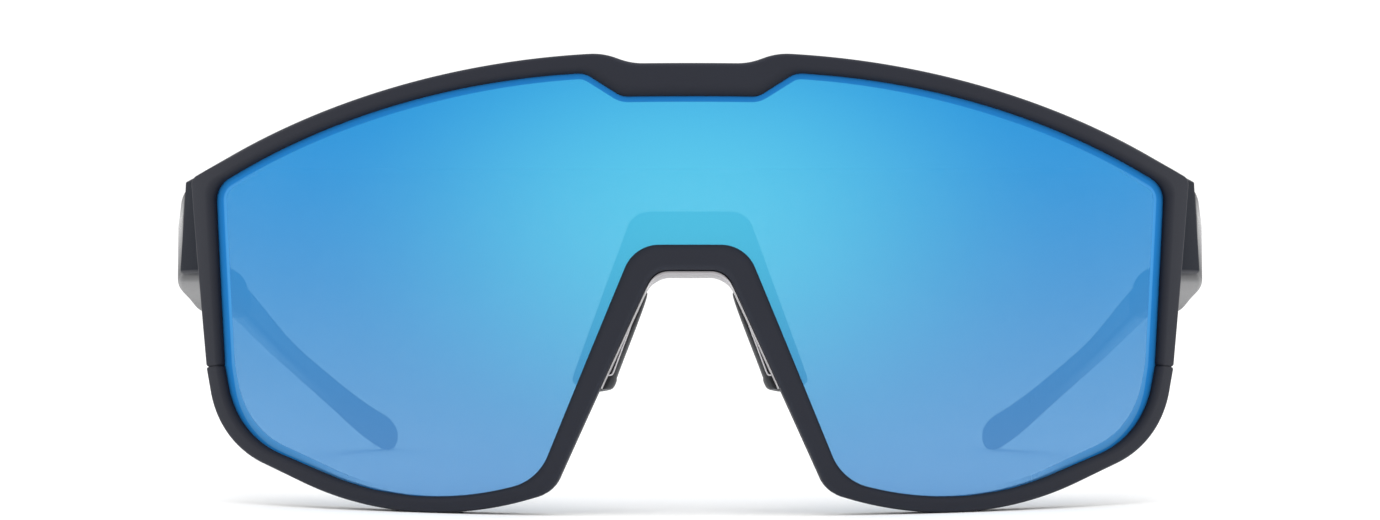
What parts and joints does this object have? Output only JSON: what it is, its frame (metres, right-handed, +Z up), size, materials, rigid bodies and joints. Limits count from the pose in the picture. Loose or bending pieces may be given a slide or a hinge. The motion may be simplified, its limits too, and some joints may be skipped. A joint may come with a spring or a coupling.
{
  "type": "wraparound sport sunglasses",
  "caption": "Wraparound sport sunglasses with a mirrored shield lens in a black rim, a nose bracket with soft pads, and folding temples with ribbed rubber grips.",
  "frame": {"origin": "on the table, under the middle of the object's bounding box, with the temples open", "axes": "+Z up from the table, -Y the way the lens faces, +X towards the wearer's left temple"},
  "size_m": [0.15, 0.1598, 0.063],
  "materials": {
    "frame_nylon": "matte black injection-moulded nylon",
    "lens_mirror": "polycarbonate with a blue mirror coating",
    "bracket_nylon": "dark grey moulded nylon",
    "soft_rubber": "soft matte rubber",
    "hinge_steel": "stainless steel, turned and stamped"
  },
  "bodies": {
    "front": {"upper_frame": "frame_nylon", "lower_frame": "frame_nylon", "shield_lens": "lens_mirror", "nose_bracket": "bracket_nylon", "nose_pad_left": "soft_rubber", "nose_pad_right": "soft_rubber", "hinge_front_left": "hinge_steel", "hinge_front_right": "hinge_steel", "hinge_screw_left": "hinge_steel", "hinge_screw_right": "hinge_steel"},
    "left_temple": {"temple_arm_left": "frame_nylon", "temple_grip_left": "soft_rubber", "hinge_temple_left": "hinge_steel"},
    "right_temple": {"temple_arm_right": "frame_nylon", "temple_grip_right": "soft_rubber", "hinge_temple_right": "hinge_steel"}
  },
  "joints": [
    {"name": "left_temple_fold", "type": "hinge", "parent": "front", "child": "left_temple", "pos_m": [0.0693, -0.0323, 0.03879], "axis": [0, 0.1226, 0.9925], "range_deg": [0, 90]},
    {"name": "right_temple_fold", "type": "hinge", "parent": "front", "child": "right_temple", "pos_m": [-0.0693, -0.0323, 0.03879], "axis": [0, -0.1226, -0.9925], "range_deg": [0, 82]}
  ]
}
